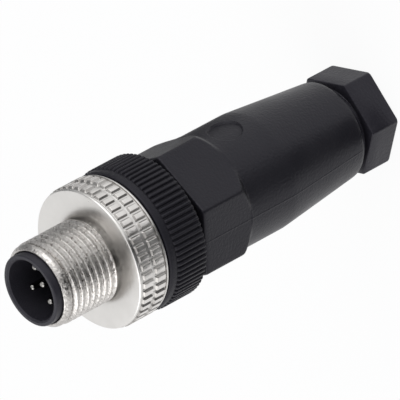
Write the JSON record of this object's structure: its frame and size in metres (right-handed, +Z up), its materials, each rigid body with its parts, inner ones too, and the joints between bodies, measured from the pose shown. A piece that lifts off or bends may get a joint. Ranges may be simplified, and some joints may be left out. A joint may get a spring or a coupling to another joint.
{
  "type": "circular cable connector",
  "caption": "Round M12 cable plug: pins in a keyed shroud, rotating knurled metal coupling screw, ribbed grip ring, hexagonal shell and gland screw.",
  "frame": {"origin": "on the plug's own axis, in the rear face of the gland screw that it stands on", "axes": "+Z up along the plug's axis, from the cable end to the pins; -Y is the side that the picture shows most of"},
  "size_m": [0.0204, 0.0204, 0.0604],
  "materials": {
    "nickel": "satin",
    "carrier_plastic": "satin",
    "grip_plastic": "satin",
    "shell_plastic": "satin",
    "gland_plastic": "satin",
    "cage_plastic": "matte",
    "seal_rubber": "matte",
    "contact_metal": "polished",
    "screw_steel": "satin",
    "spring_steel": "satin"
  },
  "bodies": {
    "insert": {"contact_carrier": "carrier_plastic", "grip_ring": "grip_plastic", "retaining_ring": "spring_steel", "contact_pin_1": "contact_metal", "contact_pin_2": "contact_metal", "contact_pin_3": "contact_metal", "contact_pin_4": "contact_metal", "contact_pin_5": "contact_metal"},
    "coupling_screw": {"coupling_nut": "nickel"},
    "shell_ring": {"shell_seal": "seal_rubber"},
    "shell": {"rear_shell": "shell_plastic"},
    "clamp": {"clamping_cage": "cage_plastic", "gland_seal": "seal_rubber", "slip_washer": "cage_plastic"},
    "gland": {"gland_screw": "gland_plastic"},
    "terminal_1": {"terminal_screw_1": "screw_steel"},
    "terminal_2": {"terminal_screw_2": "screw_steel"},
    "terminal_3": {"terminal_screw_3": "screw_steel"},
    "terminal_4": {"terminal_screw_4": "screw_steel"},
    "terminal_5": {"terminal_screw_5": "screw_steel"}
  },
  "joints": [
    {"name": "coupling_spin", "type": "hinge", "parent": "insert", "child": "coupling_screw", "pos_m": [0, 0, 0.05], "axis": [0, 0, -1], "continuous": true},
    {"name": "shell_advance", "type": "slide", "parent": "insert", "child": "shell_ring", "axis": [0, 0, -1], "range_m": [0, 0.005]},
    {"name": "shell_turn", "type": "hinge", "parent": "shell_ring", "child": "shell", "pos_m": [0, 0, 0.037], "axis": [0, 0, -1], "range_deg": [0, 1800.01]},
    {"name": "gland_advance", "type": "slide", "parent": "shell", "child": "clamp", "axis": [0, 0, -1], "range_m": [-0.0012, 0.0035]},
    {"name": "gland_turn", "type": "hinge", "parent": "clamp", "child": "gland", "pos_m": [0, 0, 0.0048], "axis": [0, 0, -1], "range_deg": [-432.01, 1260.01]},
    {"name": "terminal_turn_1", "type": "hinge", "parent": "insert", "child": "terminal_1", "pos_m": [-0.00447, 0.00055, 0.0278], "axis": [-0.9925, 0.1219, 0], "range_deg": [-540, 180]},
    {"name": "terminal_turn_2", "type": "hinge", "parent": "insert", "child": "terminal_2", "pos_m": [0.00055, 0.00447, 0.0278], "axis": [0.1219, 0.9925, 0], "range_deg": [-540, 180]},
    {"name": "terminal_turn_3", "type": "hinge", "parent": "insert", "child": "terminal_3", "pos_m": [0.00447, -0.00055, 0.0278], "axis": [0.9925, -0.1219, 0], "range_deg": [-540, 180]},
    {"name": "terminal_turn_4", "type": "hinge", "parent": "insert", "child": "terminal_4", "pos_m": [-0.00055, -0.00447, 0.0278], "axis": [-0.1219, -0.9925, 0], "range_deg": [-540, 180]},
    {"name": "terminal_turn_5", "type": "hinge", "parent": "insert", "child": "terminal_5", "pos_m": [-0.00123, 0.00158, 0.0216], "axis": [-0.6157, 0.788, 0], "range_deg": [-540, 180]}
  ],
  "couplings": [
    {"joint": "shell_turn", "follows": "shell_advance", "rad_per_m": 6283.2},
    {"joint": "gland_turn", "follows": "gland_advance", "rad_per_m": 6283.2}
  ]
}
